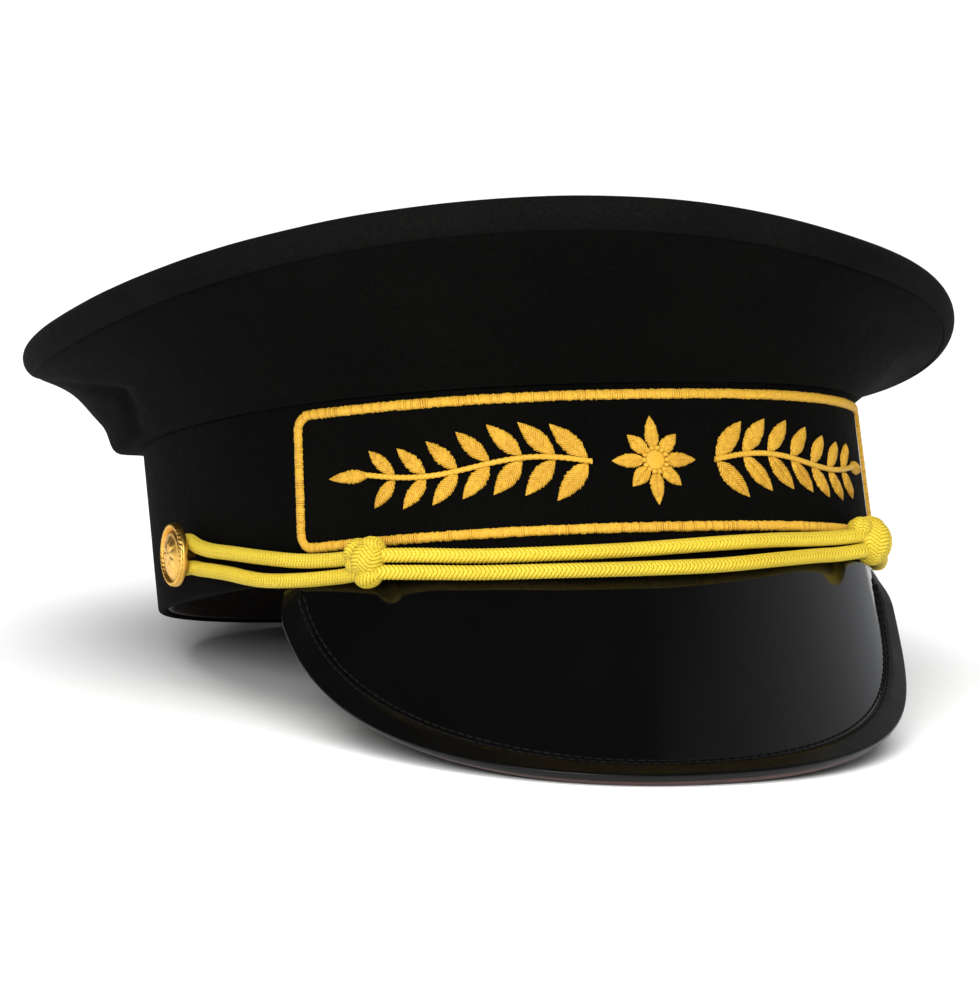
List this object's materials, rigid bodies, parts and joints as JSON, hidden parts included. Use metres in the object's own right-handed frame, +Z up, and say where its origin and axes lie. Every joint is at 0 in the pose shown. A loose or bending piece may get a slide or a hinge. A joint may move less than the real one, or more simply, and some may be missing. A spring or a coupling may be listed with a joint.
{
  "type": "conductor cap",
  "caption": "Peaked conductor cap: stiff band, flared soft crown, steep glossy peak, gold embroidery on the band and a two-strand chin cord between two buttons",
  "frame": {"origin": "on the floor under the middle of the whole cap's bounding box", "axes": "+Z up from the floor, -Y to the front where the peak is, +X to the wearer's left; the cap leans back as it rests on its peak and the back of its rim"},
  "size_m": [0.2364, 0.3036, 0.1339],
  "materials": {
    "felt": "matt wool felt, black",
    "lining": "matt, dark brown-black",
    "patent": "glossy patent, black",
    "gold_thread": "satin-stitched gold thread",
    "yellow_cord": "braided lemon-yellow cord",
    "brass": "polished brass"
  },
  "bodies": {
    "root": {"band": "felt", "sweatband": "lining", "crown_side": "felt", "crown_top": "felt", "peak": "patent", "peak_binding": "patent", "panel_border": "gold_thread", "motif_centre": "gold_thread", "motif_right": "gold_thread", "motif_left": "gold_thread", "cord_upper": "yellow_cord", "cord_lower": "yellow_cord", "knot_right": "yellow_cord", "knot_left": "yellow_cord", "button_right": "brass", "button_left": "brass"}
  },
  "joints": []
}
